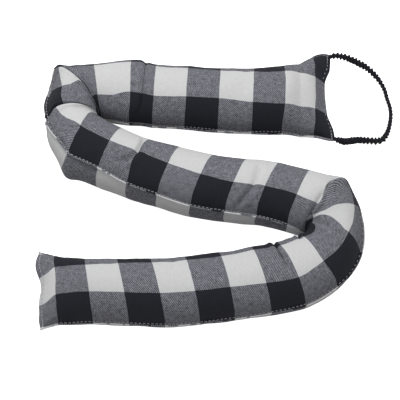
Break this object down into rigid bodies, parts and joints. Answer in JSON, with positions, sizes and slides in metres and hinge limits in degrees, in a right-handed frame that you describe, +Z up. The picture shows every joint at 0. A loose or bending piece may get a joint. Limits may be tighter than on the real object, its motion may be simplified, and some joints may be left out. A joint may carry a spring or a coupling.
{
  "type": "draught excluder",
  "caption": "Long filled draught excluder in black and white buffalo check cotton, laid in an S of three arms, with a gathered black elastic loop sewn to one end.",
  "frame": {"origin": "centre of the resting tube's plan box, on the surface that it lies on", "axes": "+Z up; +X to the right and +Y away from the viewer as in the picture, along and across the three arms"},
  "size_m": [0.3162, 0.2813, 0.0517],
  "materials": {
    "check_cotton": "matte",
    "black_elastic": "matte"
  },
  "bodies": {
    "root": {"filled_tube": "check_cotton", "elastic_loop": "black_elastic"}
  },
  "joints": []
}
